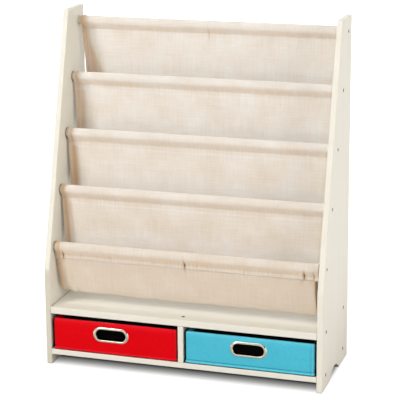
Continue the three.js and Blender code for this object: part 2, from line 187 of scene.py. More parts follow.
# Fabric bins; a rim's rise is given at its left and right front corners and in the middle of its front
FABRIC_THICKNESS = 0.9 * MM
BIN_CORNER_RADIUS = 6 * MM
BIN_WALL = 5.4 * MM
RIM_HEM = 14 * MM
RIM_RISE = {"red": (-0.7 * MM, -0.4 * MM, -1.0 * MM), "blue": (-0.5 * MM, -0.6 * MM, -0.9 * MM)}
LIP_HEIGHT = 6.5 * MM
LINING_INSET = 4.6 * MM
LINING_THICKNESS = 0.7 * MM
BIN_SEEDS = {"red": 41, "blue": 43}
CORNER_STEPS = 6
SIDE_STEPS = (46, 54, 92, 54, 46)

# Metal handles; the ring's section runs from the hole's edge to the rim, as (share of the way, share of
# the height)
RING_THICKNESS = 2 * MM
BARREL_THICKNESS = 1.2 * MM
FINGER_WIDTH = 66 * MM
FINGER_HEIGHT = 22 * MM
HOLE_MARGIN = 1.5 * MM
WASHER_PLAY = 0.6 * MM
HOLE_REACH = (-20 * MM, 30 * MM)
HOOP_EDGE_ANGLE = math.radians(50)
STADIUM_END_STEPS = 16
STADIUM_SIDE_STEPS = 8
RING_SECTION = [
    (0.00, -0.60), (0.05, -0.20), (0.10, 0.20), (0.15, 0.50), (0.20, 0.72), (0.26, 0.86), (0.34, 0.94),
    (0.44, 0.99), (0.52, 1.00), (0.60, 0.95), (0.68, 0.86), (0.76, 0.74), (0.84, 0.58), (0.91, 0.40),
    (0.96, 0.22), (1.00, 0.00),
]
WASHER_SECTION = [(0, 0), (1, 0), (1, 0.7), (0.95, 1), (0.05, 1), (0, 0.7)]

# Colours
CANVAS_PALE = (0.91, 0.892, 0.866, 1)
CANVAS_DEEP = (0.785, 0.688, 0.583, 1)
CANVAS_THREAD = (0.88, 0.84, 0.77, 1)
CANVAS_FLECK = (0.62, 0.49, 0.36, 1)
# Painted shade: warm bands on the sleeves' undersides
CANVAS_SEAM_SHADE = (0.84, 0.68, 0.51, 1)
# Painted shadow of the left panel on the cloth
CANVAS_LEFT_SHADOW = (0.69, 0.48, 0.28, 1)
# Painted shade in gathers, slits and corners, deepest in the slits
CANVAS_SHADE = (0.50, 0.275, 0.105, 1)
CANVAS_DEEPEST_SHADE = (0.15, 0.055, 0.018, 1)
PAINT_LOW = (0.80, 0.775, 0.685, 1)
PAINT_HIGH = (0.84, 0.815, 0.735, 1)
PAINT_CLOUD = (0.815, 0.79, 0.70, 1)
# Painted shade in the paint's corners
PAINT_SHADE = (0.33, 0.32, 0.25, 1)
# Painted shade: the grey low on the left panel's front edge
PAINT_LOW_LEFT_SHADE = (0.64, 0.60, 0.50, 1)
# Painted shade: near black in narrow gaps and creases
GAP_SHADE = (0.01, 0.009, 0.007, 1)
CHROME = (0.58, 0.53, 0.43, 1)
CHROME_SMUDGE = (0.42, 0.38, 0.32, 1)
# Painted dark reflection and shade where the chrome turns into its hole
CHROME_SHADE = (0.03, 0.026, 0.02, 1)

# Each fabric's dark and light colour, and the pale colour of its painted highlight
RED_TONES = [(0.68, 0.0, 0.004, 1), (0.79, 0.003, 0.008, 1), (0.92, 0.03, 0.05, 1)]
BLUE_TONES = [(0.065, 0.465, 0.63, 1), (0.095, 0.565, 0.74, 1), (0.20, 0.72, 0.86, 1)]
BLACK_TONES = [(0.006, 0.006, 0.007, 1), (0.016, 0.016, 0.018, 1), (0.02, 0.02, 0.022, 1)]

# The dark and light tone of the other grained materials
STEEL_TONES = [(0.004, 0.0035, 0.002, 1), (0.012, 0.010, 0.007, 1)]
WOOD_TONES = [(0.62, 0.52, 0.38, 1), (0.78, 0.70, 0.56, 1)]
BOARD_TONES = [(0.26, 0.24, 0.21, 1), (0.42, 0.39, 0.35, 1)]
THREAD_TONES = [(0.60, 0.47, 0.33, 1), (0.80, 0.69, 0.56, 1)]


# Shader nodes
class Nodes:
    """A node tree, with a short call for each kind of node that the materials use."""

    def __init__(self, tree):
        self.tree = tree
        tree.nodes.clear()

    def plug(self, socket, value):
        if isinstance(value, bpy.types.NodeSocket):
            self.tree.links.new(value, socket)
        else:
            socket.default_value = value

    def add(self, kind, inputs=None, **settings):
        made = self.tree.nodes.new("ShaderNode" + kind)
        for key, value in settings.items():
            setattr(made, key, value)
        for key, value in (inputs or {}).items():
            self.plug(made.inputs[key], value)
        return made

    def place(self):
        return self.add("TexCoord").outputs["Object"]

    def attribute(self, name, output="Fac"):
        return self.add("Attribute", attribute_name=name).outputs[output]

    def split(self, vector):
        return self.add("SeparateXYZ", {0: vector}).outputs

    def stretched(self, place, scale):
        return self.add("Mapping", {"Vector": place, "Scale": scale}).outputs[0]

    def noise(self, place, scale=1.0, detail=2.0, roughness=0.5):
        values = {"Vector": place, "Scale": scale, "Detail": detail, "Roughness": roughness}
        return self.add("TexNoise", values).outputs["Fac"]

    def remap(self, value, low, high, to_low=0, to_high=1):
        values = {"Value": value, "From Min": low, "From Max": high, "To Min": to_low, "To Max": to_high}
        return self.add("MapRange", values).outputs[0]

    def maths(self, operation, a, b=0.0):
        return self.add("Math", {0: a, 1: b}, operation=operation).outputs[0]

    def mix(self, share, a, b, blend="MIX"):
        made = self.add("Mix", data_type="RGBA", blend_type=blend)
        for index, value in ((0, share), (6, a), (7, b)):
            self.plug(made.inputs[index], value)
        return made.outputs[2]

    def bump(self, height, distance, strength, under=None):
        values = {"Height": height, "Distance": distance, "Strength": strength}
        if under is not None:
            values["Normal"] = under
        return self.add("Bump", values).outputs[0]

    def free_space(self, distance):
        """1 in the open and 0 deep in a narrow gap: how much of the nearby space is free."""
        return self.add("AmbientOcclusion", {"Distance": distance}, samples=6).outputs["AO"]

    def seen_rays(self):
        """1 for the rays that should see a white background: camera, glossy and transmission rays."""
        rays = self.add("LightPath").outputs
        seen = self.maths("MAXIMUM", rays["Is Camera Ray"], rays["Is Glossy Ray"])
        return self.maths("MAXIMUM", seen, rays["Is Transmission Ray"])


class Look(Nodes):
    """A new material with one shader."""

    def __init__(self, name):
        self.material = bpy.data.materials.new(name)
        self.material.use_nodes = True
        super().__init__(self.material.node_tree)
        self.shader = self.add("BsdfPrincipled")
        self.add("OutputMaterial", {0: self.shader.outputs[0]})

    def finish(self, values):
        for key, value in values.items():
            self.plug(self.shader.inputs[key], value)
        return self.material


# Materials
def low_left_edge(look, place):
    """1 on the upright low front edge of the left panel, where painted shade makes the paint greyer, and 0
    elsewhere.
    """
    x, y, z = look.split(place)
    inner_face = cad_low.x + PANEL_THICKNESS
    left = look.remap(x, inner_face + 0.5 * MM, inner_face)
    forward = look.remap(y, cad_low.y + 0.6 * MM, cad_low.y + 0.2 * MM)
    low = look.remap(z, KNEE_HEIGHT + 9 * MM, KNEE_HEIGHT - 11 * MM, 0, 0.85)
    return look.maths("MULTIPLY", look.maths("MULTIPLY", left, forward), low)


def painted_board(name, streak_scale, corner_shade=0.0):
    """Satin cream paint: a roller texture, faint streaks along the board, and painted shade in its corners
    and gaps.
    """
    look = Look(name)
    place = look.place()
    streaks = look.noise(look.stretched(place, streak_scale), 1.0, 3.0)
    colour = look.mix(look.remap(streaks, 0.35, 0.68), PAINT_LOW, PAINT_HIGH)
    colour = look.mix(look.remap(look.noise(place, 7.0), 0.35, 0.7, 0, 0.35), colour, PAINT_CLOUD)
    # Painted shade: soft in wide corners where asked, deeper in tight corners and near black in narrow gaps
    if corner_shade:
        near = look.free_space(35 * MM)
        colour = look.mix(look.remap(near, 0.1, 0.6, corner_shade, 0), colour, PAINT_SHADE)
    free = look.free_space(10 * MM)
    colour = look.mix(look.remap(free, 0.1, 0.62, 1, 0), colour, PAINT_SHADE)
    colour = look.mix(look.remap(free, 0.18, 0.48, 1, 0), colour, GAP_SHADE)
    roller = look.bump(look.noise(place, 700.0), 0.06 * MM, 0.5)
    return look.finish({
        # Painted shade greys the left panel's low front edge
        "Base Color": look.mix(low_left_edge(look, place), colour, PAINT_LOW_LEFT_SHADE),
        "Roughness": look.remap(streaks, 0.3, 0.7, 0.38, 0.5),
        "Specular IOR Level": 0.3,
        "Normal": look.bump(streaks, 0.12 * MM, 0.5, roller),
    })


def canvas_weave(look, place):
    """The height of a plain weave whose yarns wander a little."""
    wander = look.remap(look.noise(place, 60.0), 0, 1, -0.6 * MM, 0.6 * MM)
    moved = look.split(look.add("VectorMath", {0: place, 1: wander}, operation="ADD").outputs[0])
    waves = []
    for axis in (0, 1):
        turns = look.maths("MULTIPLY", moved[axis], 2 * math.pi / YARN_PITCH)
        waves.append(look.maths("SINE", turns))
    return look.maths("MULTIPLY", *waves)


def canvas_cloth(name):
    """Natural canvas: a plain weave with slubs and a warm mottle; its tone holds painted light, and it has
    painted shade in seams, gathers and corners and a painted shadow along its left edge.
    """
    look = Look(name)
    place = look.attribute("cloth_place", "Vector")
    weave = canvas_weave(look, place)
    warp = look.noise(look.stretched(place, (420, 16, 1)), 1.0, 3.0)
    weft = look.noise(look.stretched(place, (16, 420, 1)), 1.0, 3.0)
    threads = look.maths("ADD", warp, weft)
    flecks = look.noise(look.stretched(place, (260, 90, 1)), 1.0, 4.0, 0.7)
    mottle = look.remap(look.noise(place, 16.0, 4.0, 0.6), 0.32, 0.68, -0.15, 0.28)
    # The tone carries painted light round the rods and low on the back walls
    colour = look.mix(look.maths("ADD", look.attribute("tone"), mottle), CANVAS_PALE, CANVAS_DEEP)
    colour = look.mix(look.remap(threads, 0.75, 1.2, 0.5, 0), colour, CANVAS_THREAD, "MULTIPLY")
    colour = look.mix(look.remap(flecks, 0.62, 0.78, 0, 0.25), colour, CANVAS_FLECK)
    colour = look.mix(look.remap(weave, -1, 0.2, 0.08, 0), colour, CANVAS_FLECK)
    # Painted shade: warm bands on the sleeves' undersides along the seams
    colour = look.mix(look.attribute("seam_band_shade"), colour, CANVAS_SEAM_SHADE)
    # Painted shadow of the left panel, on the faces that look to the front
    depth = look.split(look.add("NewGeometry").outputs["True Normal"])[1]
    left_shadow_front = look.maths("MULTIPLY", look.attribute("left_shadow"), look.remap(depth, 0.1, -0.1))
    colour = look.mix(left_shadow_front, colour, CANVAS_LEFT_SHADOW)
    # Painted shade in gathers, along stitches, in slits, at the lowest sheet's edges and in tight corners
    shade = look.attribute("shade")
    corner = look.remap(look.free_space(7 * MM), 0.2, 0.65, 0.6, 0)
    colour = look.mix(look.maths("MAXIMUM", shade, corner), colour, CANVAS_SHADE)
    return look.finish({
        "Base Color": look.mix(look.remap(shade, 0.6, 1), colour, CANVAS_DEEPEST_SHADE),
        "Roughness": 0.92,
        "Diffuse Roughness": 0.7,
        "Sheen Weight": 0.12,
        "Sheen Roughness": 0.5,
        "Normal": look.bump(threads, 0.4 * MM, 0.45, look.bump(weave, 0.18 * MM, 0.5)),
    })


def felt(name, tones, sheen=0.0, crease=0.1):
    """Non-woven fabric: short fibres pressed flat, faint clouds, painted shade in creases and gaps, and a
    painted highlight on lip and rim.
    """
    look = Look(name)
    dark, light, edge = tones
    place = look.place()
    fibres = look.maths("MULTIPLY", look.noise(place, 900.0, 4.0, 0.65), 0.55)
    pressed = look.maths("MULTIPLY", look.noise(look.stretched(place, (120, 120, 420)), 1.0, 3.0), 0.45)
    pile = look.maths("ADD", fibres, pressed)
    fold_shade_and_light = look.attribute("fold_shade_and_light")
    colour = look.mix(look.remap(pile, 0.35, 0.65), dark, light)
    colour = look.mix(look.remap(look.noise(place, 14.0), 0.4, 0.7, 0, 0.35), colour, dark)
    # Painted shade in the groove above the lip and in the right corner's crease
    colour = look.mix(look.remap(fold_shade_and_light, 0, 1, 0, crease), colour, GAP_SHADE)
    # Painted highlight on the lip, the rim and beside the right corner's crease
    colour = look.mix(look.remap(fold_shade_and_light, 0, -1, 0, 0.45), colour, edge)
    # Painted shade in narrow gaps
    gap = look.remap(look.free_space(18 * MM), 0.25, 0.68, 1, 0)
    return look.finish({
        "Base Color": look.mix(gap, colour, GAP_SHADE),
        "Roughness": 0.9,
        "Specular IOR Level": 0.06,
        "Sheen Weight": sheen,
        "Sheen Roughness": 0.45,
        "Normal": look.bump(pile, 0.25 * MM, 0.7),
    })


def polished_metal(name):
    """Chrome plate with smudges and a faint grain, with a painted dark reflection and painted shade where
    it rolls into its hole and in tight gaps.
    """
    look = Look(name)
    place = look.place()
    smudges = look.noise(place, 90.0, 3.0)
    grain = look.noise(look.stretched(place, (300, 2500, 2500)))
    # Painted dark reflection and shade at the inner edge and in tight gaps
    gap = look.remap(look.free_space(8 * MM), 0.3, 0.75, 1, 0)
    tint = look.mix(look.remap(smudges, 0.3, 0.7, 0, 0.3), CHROME, CHROME_SMUDGE)
    return look.finish({
        "Base Color": look.mix(look.maths("MAXIMUM", look.attribute("rolled_edge_shade"), gap), tint, CHROME_SHADE),
        "Metallic": 1.0,
        "Roughness": look.remap(smudges, 0.3, 0.7, 0.10, 0.17),
        "Normal": look.bump(grain, 0.02 * MM, 0.15),
    })


def grained(name, tones, grain, spread, relief, roughness, sheen=0.0, specular=0.5):
    """Two tones that follow one grain, as do the relief and the roughness where that is a range.

    The grain is (scale, detail, fineness), the spread is the range of it that runs from one tone to the
    other, and the relief is (distance, strength)."""
    look = Look(name)
    scale, detail, fineness = grain
    height = look.noise(look.stretched(look.place(), scale), 1.0, detail, fineness)
    if isinstance(roughness, tuple):
        roughness = look.remap(height, 0.3, 0.7, *roughness)
    return look.finish({
        "Base Color": look.mix(look.remap(height, *spread), *tones),
        "Roughness": roughness,
        "Specular IOR Level": specular,
        "Sheen Weight": sheen,
        "Normal": look.bump(height, *relief),
    })


# Mesh helpers
def grid_faces(rows, columns, wrap=False):
    """Quads of a grid of points whose columns run fastest; wrap joins the last column to the first."""
    r, c = np.meshgrid(np.arange(rows - 1), np.arange(columns if wrap else columns - 1), indexing="ij")
    following = (c + 1) % columns
    near, far = r * columns, (r + 1) * columns
    return np.stack([near + c, near + following, far + following, far + c], axis=-1).reshape(-1, 4)


def add_mesh(name, points, faces):
    mesh = bpy.data.meshes.new(name)
    points = np.asarray(points, float).reshape(-1, 3).tolist()
    mesh.from_pydata(points, [], [list(map(int, face)) for face in faces])
    made = bpy.data.objects.new(name, mesh)
    bpy.context.scene.collection.objects.link(made)
    return made


def add_piece(name, points, faces, material, body):
    piece = add_mesh(name, points, faces)
    piece.data.polygons.foreach_set("use_smooth", [True] * len(piece.data.polygons))
    piece.data.materials.append(material)
    piece.data.update()
    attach(piece, body)
    return piece


def store(piece, name, values):
    """Keeps one number, or for a grid of places one vector, for each point."""
    kind, field = ("FLOAT_VECTOR", "vector") if np.ndim(values) == 3 else ("FLOAT", "value")
    attribute = piece.data.attributes.new(name, kind, "POINT")
    attribute.data.foreach_set(field, np.asarray(values, np.float32).ravel())


def thicken(piece, thickness, shares=None):
    """Gives a surface its thickness; shares may thin it at some of its points."""
    layer = piece.modifiers.new("thickness", "SOLIDIFY")
    layer.thickness = thickness
    layer.offset = 0
    if shares is None:
        return
    group = piece.vertex_groups.new(name="thickness")
    for share in np.unique(shares):
        group.add(np.flatnonzero(shares == share).tolist(), float(share), "REPLACE")
    layer.vertex_group = "thickness"


def lattice_noise(u, v, seed):
    """Smooth gradient noise, about -1 to 1, the same for the same seed."""
    turns = np.random.default_rng(seed).uniform(0, 2 * math.pi, (64, 64))
    iu, iv = np.floor(u).astype(int), np.floor(v).astype(int)
    fu, fv = u - iu, v - iv

    def corner(du, dv):
        angle = turns[(iu + du) % 64, (iv + dv) % 64]
        return np.cos(angle) * (fu - du) + np.sin(angle) * (fv - dv)

    su = fu ** 3 * (fu * (fu * 6 - 15) + 10)
    sv = fv ** 3 * (fv * (fv * 6 - 15) + 10)
    low = corner(0, 0) * (1 - su) + corner(1, 0) * su
    high = corner(0, 1) * (1 - su) + corner(1, 1) * su
    return (low * (1 - sv) + high * sv) * 1.5


def smooth_step(value, low, high):
    share = np.clip((value - low) / (high - low), 0, 1)
    return share * share * (3 - 2 * share)


def bell(value, width):
    """1 at 0, and down to 0 about two widths away."""
    return np.exp(-(value / width) ** 2)


def unit(vectors):
    return vectors / np.maximum(np.linalg.norm(vectors, axis=-1, keepdims=True), 1e-12)


def surface_normals(points):
    return unit(np.cross(np.gradient(points, axis=0), np.gradient(points, axis=1)))


# The sling's path in depth and height, from the hem behind the top rod to the hem below the low rod
def rod_centre(number):
    low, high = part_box(f"rod_{number}")
    return np.array([(low.y + high.y) / 2, (low.z + high.z) / 2])


def sleeve_line(centre):
    """Up behind the rod from the tail, round the rod, and down in front of it."""
    to_seam = math.hypot(SEAM_BELOW_ROD, PLY_OFFSET)
    leave = math.atan2(-SEAM_BELOW_ROD, PLY_OFFSET) + math.acos(SLEEVE_RADIUS / to_seam)
    turns = np.linspace(leave, math.pi - leave, SLEEVE_POINTS)
    arc = np.stack([np.cos(turns), np.sin(turns)], axis=1) * SLEEVE_RADIUS
    behind = [(PLY_OFFSET, -POCKET_SEAM_BELOW_ROD), (PLY_OFFSET, -SEAM_BELOW_ROD)]
    ahead = [(-PLY_OFFSET, -SEAM_BELOW_ROD), (-PLY_OFFSET, -POCKET_SEAM_BELOW_ROD)]
    return centre + np.concatenate([behind, arc, ahead])


def catenary_line(start, end, lowest):
    """The curve of cloth hung between two level lines, with its lowest height given."""
    start_rise, end_rise = start[1] - lowest, end[1] - lowest
    span = start[0] - end[0]
    small, large = 1e-6, span + start_rise
    for _ in range(HALVINGS):
        scale = (small + large) / 2
        reach = scale * (math.acosh(1 + start_rise / scale) + math.acosh(1 + end_rise / scale))
        small, large = (small, scale) if reach > span else (scale, large)
    from_turn, to_turn = math.acosh(1 + start_rise / large), -math.acosh(1 + end_rise / large)
    turns = np.linspace(from_turn, to_turn, POCKET_POINTS)
    low_y = start[0] - large * from_turn
    return np.stack([low_y + large * turns, lowest + large * (np.cosh(turns) - 1)], axis=1)


def along(points):
    steps = np.linalg.norm(np.diff(points, axis=0), axis=1)
    return np.concatenate([[0], np.cumsum(steps)])


def pocket_line(number):
    """The hung cloth between two rods."""
    tail = np.array([-PLY_OFFSET, -POCKET_SEAM_BELOW_ROD])
    start = ROD_CENTRES[number - 1] + tail
    end = ROD_CENTRES[number] + tail * (-1, 1)
    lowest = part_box(f"sling_pocket_{number}")[0].z + CANVAS_THICKNESS / 2
    return catenary_line(start, end, lowest)[1:-1]


def sling_path():
    """Close points of the whole path: distance along it, depth, height, their slopes, the number of the
    pocket, or 0 in a sleeve, and the share of the way through that pocket."""
    lines, pockets, shares = [], [], []
    for rod in range(1, RODS + 1):
        lines.append(sleeve_line(ROD_CENTRES[rod - 1]))
        pockets.append(np.zeros(len(lines[-1])))
        shares.append(np.zeros(len(lines[-1])))
        if rod < RODS:
            lines.append(pocket_line(rod))
            pockets.append(np.full(len(lines[-1]), rod))
            shares.append(along(lines[-1]) / along(lines[-1])[-1])
    points = np.concatenate(lines)
    length = along(points)
    close = np.linspace(0, length[-1], int(length[-1] / FINE_STEP))
    columns = {
        "y": points[:, 0],
        "z": points[:, 1],
        "pocket": np.concatenate(pockets),
        "share": np.concatenate(shares),
    }
    path = {key: np.interp(close, length, values) for key, values in columns.items()}
    path["pocket"] = path["pocket"].round()
    path["run"] = np.gradient(path["y"], close)
    path["rise"] = np.gradient(path["z"], close)
    path["length"] = close
    return path


ROD_CENTRES = np.array([rod_centre(i + 1) for i in range(RODS)])
ROD_HEIGHTS = ROD_CENTRES[:, 1]
PATH = sling_path()
CLOTH_LENGTH = PATH["length"][-1]


def path_at(s, key):
    return np.interp(s, PATH["length"], PATH[key])


def pocket_at(s):
    """The number of the pocket at each distance, or 0 in a sleeve, and the share of the way through it."""
    pocket = path_at(s, "pocket").round()
    return pocket, np.where(pocket > 0, path_at(s, "share"), 0)


def low_front(s, slope=0.0):
    """True on the front wall of the lowest pocket, where it climbs at least as steeply as the slope."""
    return (pocket_at(s)[0] == RODS - 1) & (path_at(s, "rise") >= slope)


def path_normal(s):
    out = np.stack([path_at(s, "rise"), -path_at(s, "run")])
    return out / np.hypot(*out)


def seam_places():
    """Each seam's distance along the path, its rod, and True where it is in front of the rod."""
    found = []
    y, z, length = PATH["y"], PATH["z"], PATH["length"]
    for rod, (rod_y, rod_z) in enumerate(ROD_CENTRES, 1):
        to_seam = np.hypot(y - rod_y, z - (rod_z - SEAM_BELOW_ROD))
        near_rod = np.hypot(y - rod_y, z - rod_z) < 2 * SLEEVE_RADIUS
        top = np.argmax(np.where(near_rod, z, -1))
        found.append((length[np.argmin(to_seam[:top])], rod, False))
        found.append((length[top + np.argmin(to_seam[top:])], rod, True))
    return found


SEAMS = seam_places()


def seam_distances(s):
    """For each seam its rod and how far the cloth at s is past it: above 0 in the pocket, below 0 in the
    sleeve."""
    for place, rod, ahead in SEAMS:
        yield rod, np.where(ahead, s - place, place - s)[:, None]


def path_rows():
    """Distances along the path for the rows of the mesh: close at the sleeves and pocket bottoms."""
    length = PATH["length"]
    to_seam = np.min([np.abs(length - seam[0]) for seam in SEAMS], axis=0)
    step = np.where(PATH["pocket"] == 0, SLEEVE_ROW_STEP, WALL_ROW_STEP)
    away = smooth_step(to_seam, 12 * MM, 30 * MM)
    step = np.minimum(step, SLEEVE_ROW_STEP + (WALL_ROW_STEP - SLEEVE_ROW_STEP) * away)
    step = np.where(np.abs(PATH["rise"]) < 0.93, BOTTOM_ROW_STEP, step)
    count = np.concatenate([[0], np.cumsum(FINE_STEP / step[1:])])
    return np.interp(np.linspace(0, count[-1], int(count[-1]) + 1), count, length)


# The sling's gathers, folds and crumples
def gather_wave(x, rod):
    """Rounded ridges between sharp creases, about -1 in the creases and 0.4 on the ridges."""
    drift = 0.55 * lattice_noise(x * 45, x * 0 + rod, 3) + 1.6 * lattice_noise(x * 11, x * 0 + 2.3 * rod, 4)
    return 1.4 * np.abs(np.sin(math.pi * (x / GATHER_PITCH + drift))) ** 0.55 - 1.0


def gather_amount(x, rod):
    amount = 0.42 + 0.55 * lattice_noise(x * 26, x * 0 + rod * 1.7, 5)
    for centre, reach, extra in GATHERS[rod][1]:
        amount = amount + extra * bell(x - centre, reach)
    return np.clip(amount, 0.06, 1.8)


def gather_depth(x, rod):
    depth = GATHERS[rod][0] * gather_amount(x, rod) * gather_wave(x, rod)
    for centre, half, dent in PINCHES.get(rod, []):
        depth = depth - dent * bell(x - centre, half)
    return depth


def side_pulls(s):
    """How far the hung cloth draws in from its full width, at the left and right edges."""
    pocket, share = pocket_at(s)
    free = np.sin(np.pi * share)
    top, lowest = pocket == 1, pocket == RODS - 1
    top_seam, low_seam = SEAMS[1][0], SEAMS[-2][0]
    sleeve = TOP_SLEEVE_PULL * (1 - smooth_step(s, top_seam, top_seam + 0.25))
    left = sleeve + free * np.where(top, TOP_POCKET_PULL[0], POCKET_PULL)
    right = free * np.where(top, TOP_POCKET_PULL[1], POCKET_PULL)
    right = right * (1 - 0.8 * smooth_step(share, 0.4, 0.6) * lowest)
    low_sheet = LOW_SHEET_PULL * smooth_step(share, 0.5, 1.0) * lowest
    return left, right + low_sheet * (1 - smooth_step(s, low_seam - 6 * MM, low_seam + 2 * MM))


def seam_relief(gx, s):
    """How far the gathers move the cloth in depth, and how far their ridges swell the sleeve above them."""
    in_depth, out = np.zeros_like(gx), np.zeros_like(gx)
    for rod, past in seam_distances(s):
        depth = gather_depth(gx, rod)
        fade = np.where(past > 0, np.exp(-np.abs(past) / GATHER_DROP), bell(past, GATHER_RISE))
        fade = np.where(np.abs(past) < GATHER_END, fade, 0)
        in_depth -= fade * depth
        ridge = np.where((past < 0) & (past > -3 * RIDGE_REACH), bell(past, RIDGE_REACH), 0)
        out += np.maximum(ridge - fade, 0) * np.maximum(depth, 0)
    return in_depth, out


def fold_relief(gx, s, free):
    """Broad folds that lean as they run down a pocket's wall."""
    out = np.zeros_like(gx)
    pocket, z = pocket_at(s)[0], path_at(s, "z")
    for number, front, top_x, low_x, half, depth in FOLDS:
        top_z, low_z = ROD_HEIGHTS[number - 1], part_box(f"sling_pocket_{number}")[0].z
        drop = np.clip((top_z - z) / (top_z - low_z), 0, 1)[:, None]
        on = (pocket == number) & ((path_at(s, "rise") > 0) == front)
        centre = top_x + (low_x - top_x) * drop
        out += np.where(on[:, None], depth * bell(gx - centre, half) * free ** 1.2, 0)
    return out


def crumple_relief(gx, gs, free):
    """Soft crumples, fine waves and curled side edges, strongest on the hung cloth."""
    crumple = 1.1 * MM * lattice_noise(gx * 16, gs * 11, 21)
    crumple += 0.35 * MM * lattice_noise(gx * 45, gs * 34, 22)
    fine = 0.10 * MM * lattice_noise(gx * 120, gs * 60, 23)
    curl = 1.6 * MM + 1.4 * MM * lattice_noise(gs * 20, np.sign(gx), 31)
    curl = curl * np.exp(-(HALF_WIDTH - np.abs(gx)) / (7 * MM))
    return crumple * free ** 0.8 + fine * (0.35 + 0.65 * free) + curl * free


def cloth_points(x, s):
    """Points of the cloth's middle surface for widths x (columns) and distances s along the path (rows)."""
    gx, gs = np.meshgrid(x, s)
    pocket, share = pocket_at(s)
    free = np.sin(np.pi * share)[:, None]
    left_pull, right_pull = side_pulls(s)
    pull = np.where(gx < 0, left_pull[:, None], right_pull[:, None])
    in_depth, out = seam_relief(gx, s)
    out += fold_relief(gx, s, free) + crumple_relief(gx, gs, free)
    lift = LOW_LEFT_LIFT * np.clip(-gx / HALF_WIDTH, 0, 1) ** 2 * (pocket == RODS - 1)[:, None] * free
    normal_y, normal_z = path_normal(s)
    return np.stack([
        gx * (HALF_WIDTH - pull) / HALF_WIDTH,
        path_at(s, "y")[:, None] + normal_y[:, None] * out + in_depth,
        path_at(s, "z")[:, None] + normal_z[:, None] * out + lift,
    ], axis=-1)


# The sling's tone and its painted shade, shadow and light, one number for each point
def seam_shade(x, s):
    """Painted shade, where the cloth is darker: in gathers, along stitches, in the pinches and at the
    lowest sheet's side edges.
    """
    gx = np.meshgrid(x, s)[0]
    shade = np.zeros_like(gx)
    for rod, past in seam_distances(s):
        crease = np.clip(-gather_wave(gx, rod), 0, 1) * gather_amount(gx, rod)
        shade += 0.15 * crease * bell(past + 3.5 * MM, 5.5 * MM) + 0.08 * bell(past, 0.9 * MM)
        for centre, half, dent in PINCHES.get(rod, []):
            strength = min(0.5 * dent / MM, 1.3)
            shade += strength * bell(gx - centre, half) * bell(past, 13 * MM)
    # Painted shade on the lowest sheet's side edges, beside the panels
    edge = (low_front(s, 0.2) * smooth_step(path_at(s, "share"), 0.62, 0.74))[:, None]
    shade += 0.8 * edge * smooth_step(gx, HALF_WIDTH - 5.5 * MM, HALF_WIDTH - 2.5 * MM)
    shade += 0.5 * edge * smooth_step(-gx, HALF_WIDTH - 3.0 * MM, HALF_WIDTH - 1.0 * MM)
    return np.clip(shade, 0, 1)


def seam_shade_bands(x, s):
    """Painted shade, warm: the gathered bands along the seams, on the undersides of the sleeves, strongest
    under the lowest rod.
    """
    gx, gs = np.meshgrid(x, s)
    warm = np.zeros_like(gx)
    for rod, past in seam_distances(s):
        blotch = np.clip(0.6 + 0.9 * lattice_noise(gx * 70, gs * 40 + rod, 33), 0, 1.2)
        here = bell(past + 7 * MM, 8 * MM) * (0.32 + 0.40 * blotch * gather_amount(gx, rod))
        warm += here * (1.3 if rod == RODS else 1.0)
    return np.clip(warm, 0, 1)


def painted_left_shadow(x, s):
    """A painted shadow of the left panel: deep brown along the cloth's left edge, widening down the top
    sheet.
    """
    gx, gs = np.meshgrid(x, s)
    pocket, share = pocket_at(s)
    full = np.where(pocket == 1, 8 + 34 * smooth_step(share, 0.0, 0.45), 12.0)
    full = np.where(low_front(s), 6.0, full)
    full = np.where(pocket == 0, 7.0, full)[:, None] * MM
    edge = HALF_WIDTH + gx + 3 * MM * lattice_noise(gs * 9, gs * 0, 35)
    streaks = np.where(pocket == 1, 0.50, 0.60)[:, None] + 0.45 * lattice_noise(gx * 130, gs * 5, 36)
    return np.clip(streaks * (1 - smooth_step(edge, full, full + 15 * MM)), 0, 1)


def cloth_tone(x, s):
    """0 where the cloth is palest and 1 where it is warmest: it deepens from the top sheet to the lowest
    one, and painted light makes it pale round the rods and low on the back walls, in the pockets' shade."""
    pocket = pocket_at(s)[0]
    y, z, rise = (path_at(s, key) for key in ("y", "z", "rise"))
    top, low = ROD_HEIGHTS[0], ROD_HEIGHTS[-1]
    deep = 0.23 + 0.40 * np.clip((top - z) / (top - low), 0, 1.1) ** 2
    front = 0.24 * low_front(s)
    to_rods = np.array([np.hypot(y - rod_y, z - rod_z) for rod_y, rod_z in ROD_CENTRES])
    above_rod = z - ROD_HEIGHTS[np.argmin(to_rods, axis=0)]
    # Painted light round the rods, most on their tops and on the higher rods
    rod_light = 1 - smooth_step(np.min(to_rods, axis=0), SLEEVE_RADIUS * 1.15, SLEEVE_RADIUS * 1.75)
    rod_light *= 0.20 + 0.40 * smooth_step(above_rod, 0, SLEEVE_RADIUS)
    rod_light *= 0.45 + 0.55 * smooth_step(z, 0.25, 0.45)
    above_next = z - ROD_HEIGHTS[pocket.astype(int)]
    back_wall = (pocket > 0) & (rise < 0)
    # Painted light low on the back walls, in the pockets' shade above the next rod
    low_back_light = 0.75 * back_wall * (1 - smooth_step(above_next, 10 * MM, 50 * MM))
    tone = (deep + front) * (1 - 0.95 * np.maximum(rod_light, low_back_light))
    return np.repeat(np.clip(tone, 0, 1)[:, None], len(x), axis=1)


# The sling's pieces
def add_cloth(name, points, x, s, material, shade_share):
    """A layer of cloth, with its flat place, tone and painted shade, shadow and light kept on its points.
    """
    cloth = add_piece(name, points, grid_faces(len(s), len(x)), material, "frame")
    gx, gs = np.meshgrid(x, s)
    store(cloth, "cloth_place", np.stack([gx, gs, gx * 0], axis=-1))
    store(cloth, "shade", seam_shade(x, s) * shade_share)
    store(cloth, "tone", cloth_tone(x, s))
    store(cloth, "seam_band_shade", seam_shade_bands(x, s))
    store(cloth, "left_shadow", painted_left_shadow(x, s))
    return cloth


